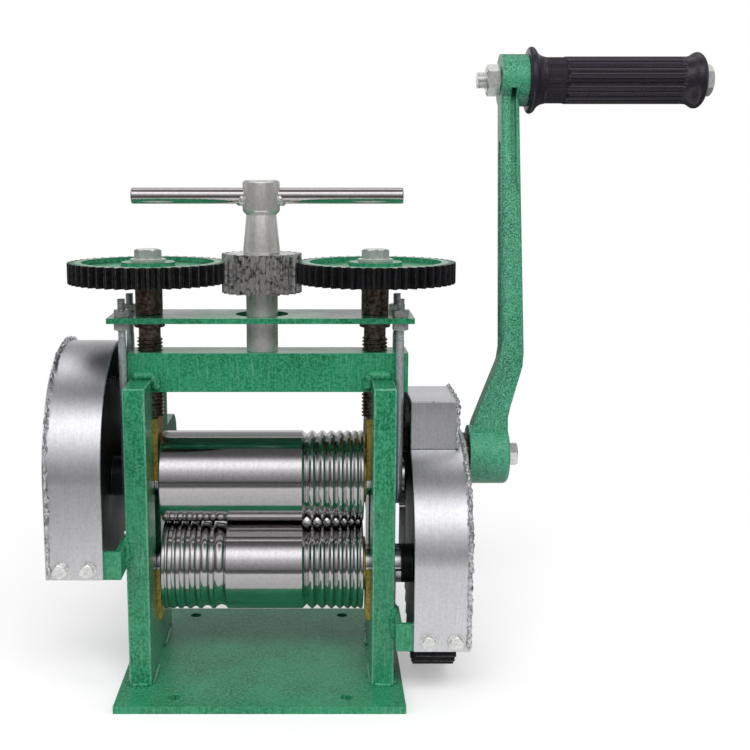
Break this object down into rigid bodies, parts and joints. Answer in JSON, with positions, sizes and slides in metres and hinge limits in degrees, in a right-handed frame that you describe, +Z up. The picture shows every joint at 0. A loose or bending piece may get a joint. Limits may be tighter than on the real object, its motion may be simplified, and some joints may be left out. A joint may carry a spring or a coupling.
{
  "type": "jewellers rolling mill",
  "caption": "Bench rolling mill: a leaning hand crank drives two steel rollers through guarded gears, and a T handle sets the gap between them.",
  "frame": {"origin": "on the underside of the base plate, midway between the uprights and under the rollers' axes", "axes": "+X along the rollers towards the crank, +Y away from the operator, +Z up"},
  "size_m": [0.388, 0.2025, 0.3566],
  "materials": {
    "green_paint": "gloss green enamel with a fine orange-peel texture",
    "guard_aluminium": "brushed sheet with rough welds",
    "black_gear_steel": "blackened steel, worn grey on the teeth",
    "zinc_steel": "bright zinc plate",
    "roller_steel": "ground and polished hardened steel",
    "spindle_steel": "satin nickel plate",
    "nickel_pinion": "rough plated teeth",
    "chrome": "bright chrome",
    "oiled_steel": "dark oiled steel",
    "galvanised_rod": "dull galvanised wire",
    "brass": "cast brass, oily",
    "grip_rubber": "ribbed black rubber"
  },
  "bodies": {
    "frame": {"base_plate": "green_paint", "crossbar": "green_paint", "shaft_bushes": "brass", "idler_stud": "oiled_steel", "idler_ring": "oiled_steel", "idler_guard_box": "guard_aluminium", "lower_thrust_washers": "brass", "left_front_upright": "green_paint", "right_front_upright": "green_paint", "left_rear_upright": "green_paint", "right_rear_upright": "green_paint", "left_slot_block": "green_paint", "right_slot_block": "green_paint", "left_shaft_support": "green_paint", "right_shaft_support": "green_paint", "left_lower_bearing": "brass", "right_lower_bearing": "brass", "left_gear_guard": "guard_aluminium", "right_gear_guard": "guard_aluminium", "left_front_bracket": "green_paint", "right_front_bracket": "green_paint", "left_rear_bracket": "green_paint", "right_rear_bracket": "green_paint", "left_guard_bolts": "zinc_steel", "right_guard_bolts": "zinc_steel", "left_guard_washers": "zinc_steel", "right_guard_washers": "zinc_steel"},
    "lift": {"lift_plate": "green_paint", "lift_rod_nuts": "zinc_steel", "left_lift_stirrup": "galvanised_rod", "right_lift_stirrup": "galvanised_rod", "left_upper_bearing": "brass", "right_upper_bearing": "brass"},
    "left_screw": {"left_pressure_screw": "oiled_steel", "left_screw_gear": "black_gear_steel", "left_gear_washer": "zinc_steel", "left_gear_bolt": "zinc_steel"},
    "right_screw": {"right_pressure_screw": "oiled_steel", "right_screw_gear": "black_gear_steel", "right_gear_washer": "zinc_steel", "right_gear_bolt": "zinc_steel"},
    "t_handle": {"adjusting_spindle": "spindle_steel", "t_bar": "chrome", "adjusting_pinion": "nickel_pinion"},
    "upper_washers": {"upper_thrust_washers": "brass"},
    "upper_roller": {"upper_roller": "roller_steel", "left_drive_gear": "black_gear_steel", "left_gear_ring": "oiled_steel"},
    "lower_roller": {"lower_roller": "roller_steel", "right_drive_gear": "black_gear_steel", "right_gear_ring": "oiled_steel"},
    "crank": {"crank_arm": "green_paint", "crank_shaft": "oiled_steel", "left_crank_pinion": "black_gear_steel", "right_crank_pinion": "black_gear_steel", "crank_bolt": "zinc_steel", "grip_bolt": "zinc_steel", "grip_nut": "zinc_steel"},
    "grip": {"handle_grip": "grip_rubber"},
    "idler": {"idler_gear": "black_gear_steel"}
  },
  "joints": [
    {"name": "crank_turn", "type": "hinge", "parent": "frame", "child": "crank", "pos_m": [0, 0.075, 0.1055], "axis": [1, 0, 0], "continuous": true},
    {"name": "grip_spin", "type": "hinge", "parent": "crank", "child": "grip", "pos_m": [0.216, 0.11503, 0.33605], "axis": [1, 0, 0], "continuous": true},
    {"name": "idler_turn", "type": "hinge", "parent": "frame", "child": "idler", "pos_m": [0.094, 0.03724, 0.12522], "axis": [1, 0, 0], "continuous": true},
    {"name": "lower_roller_turn", "type": "hinge", "parent": "frame", "child": "lower_roller", "pos_m": [0, 0, 0.06], "axis": [1, 0, 0], "continuous": true},
    {"name": "t_handle_turn", "type": "hinge", "parent": "frame", "child": "t_handle", "pos_m": [0, 0, 0.183], "axis": [0, 0, -1], "range_deg": [0, 2504.45]},
    {"name": "lift_slide", "type": "slide", "parent": "frame", "child": "lift", "axis": [0, 0, 1], "range_m": [0, 0.005]},
    {"name": "left_screw_turn", "type": "hinge", "parent": "lift", "child": "left_screw", "pos_m": [-0.06212, 0, 0.2], "axis": [0, 0, 1], "range_deg": [0, 1200.1]},
    {"name": "right_screw_turn", "type": "hinge", "parent": "lift", "child": "right_screw", "pos_m": [0.06212, 0, 0.2], "axis": [0, 0, 1], "range_deg": [0, 1200.1]},
    {"name": "upper_washer_turn", "type": "hinge", "parent": "lift", "child": "upper_washers", "pos_m": [0, 0, 0.1113], "axis": [1, 0, 0], "range_deg": [-5.27, 0]},
    {"name": "upper_roller_turn", "type": "hinge", "parent": "upper_washers", "child": "upper_roller", "pos_m": [0, 0, 0.1113], "axis": [1, 0, 0], "continuous": true}
  ],
  "couplings": [
    {"joint": "idler_turn", "follows": "crank_turn", "ratio": -1},
    {"joint": "lower_roller_turn", "follows": "crank_turn", "ratio": 0.39535},
    {"joint": "upper_roller_turn", "follows": "crank_turn", "ratio": -0.39535},
    {"joint": "t_handle_turn", "follows": "lift_slide", "rad_per_m": 8741.8},
    {"joint": "left_screw_turn", "follows": "lift_slide", "rad_per_m": 4188.8},
    {"joint": "right_screw_turn", "follows": "lift_slide", "rad_per_m": 4188.8},
    {"joint": "upper_washer_turn", "follows": "lift_slide", "rad_per_m": -18.373}
  ]
}
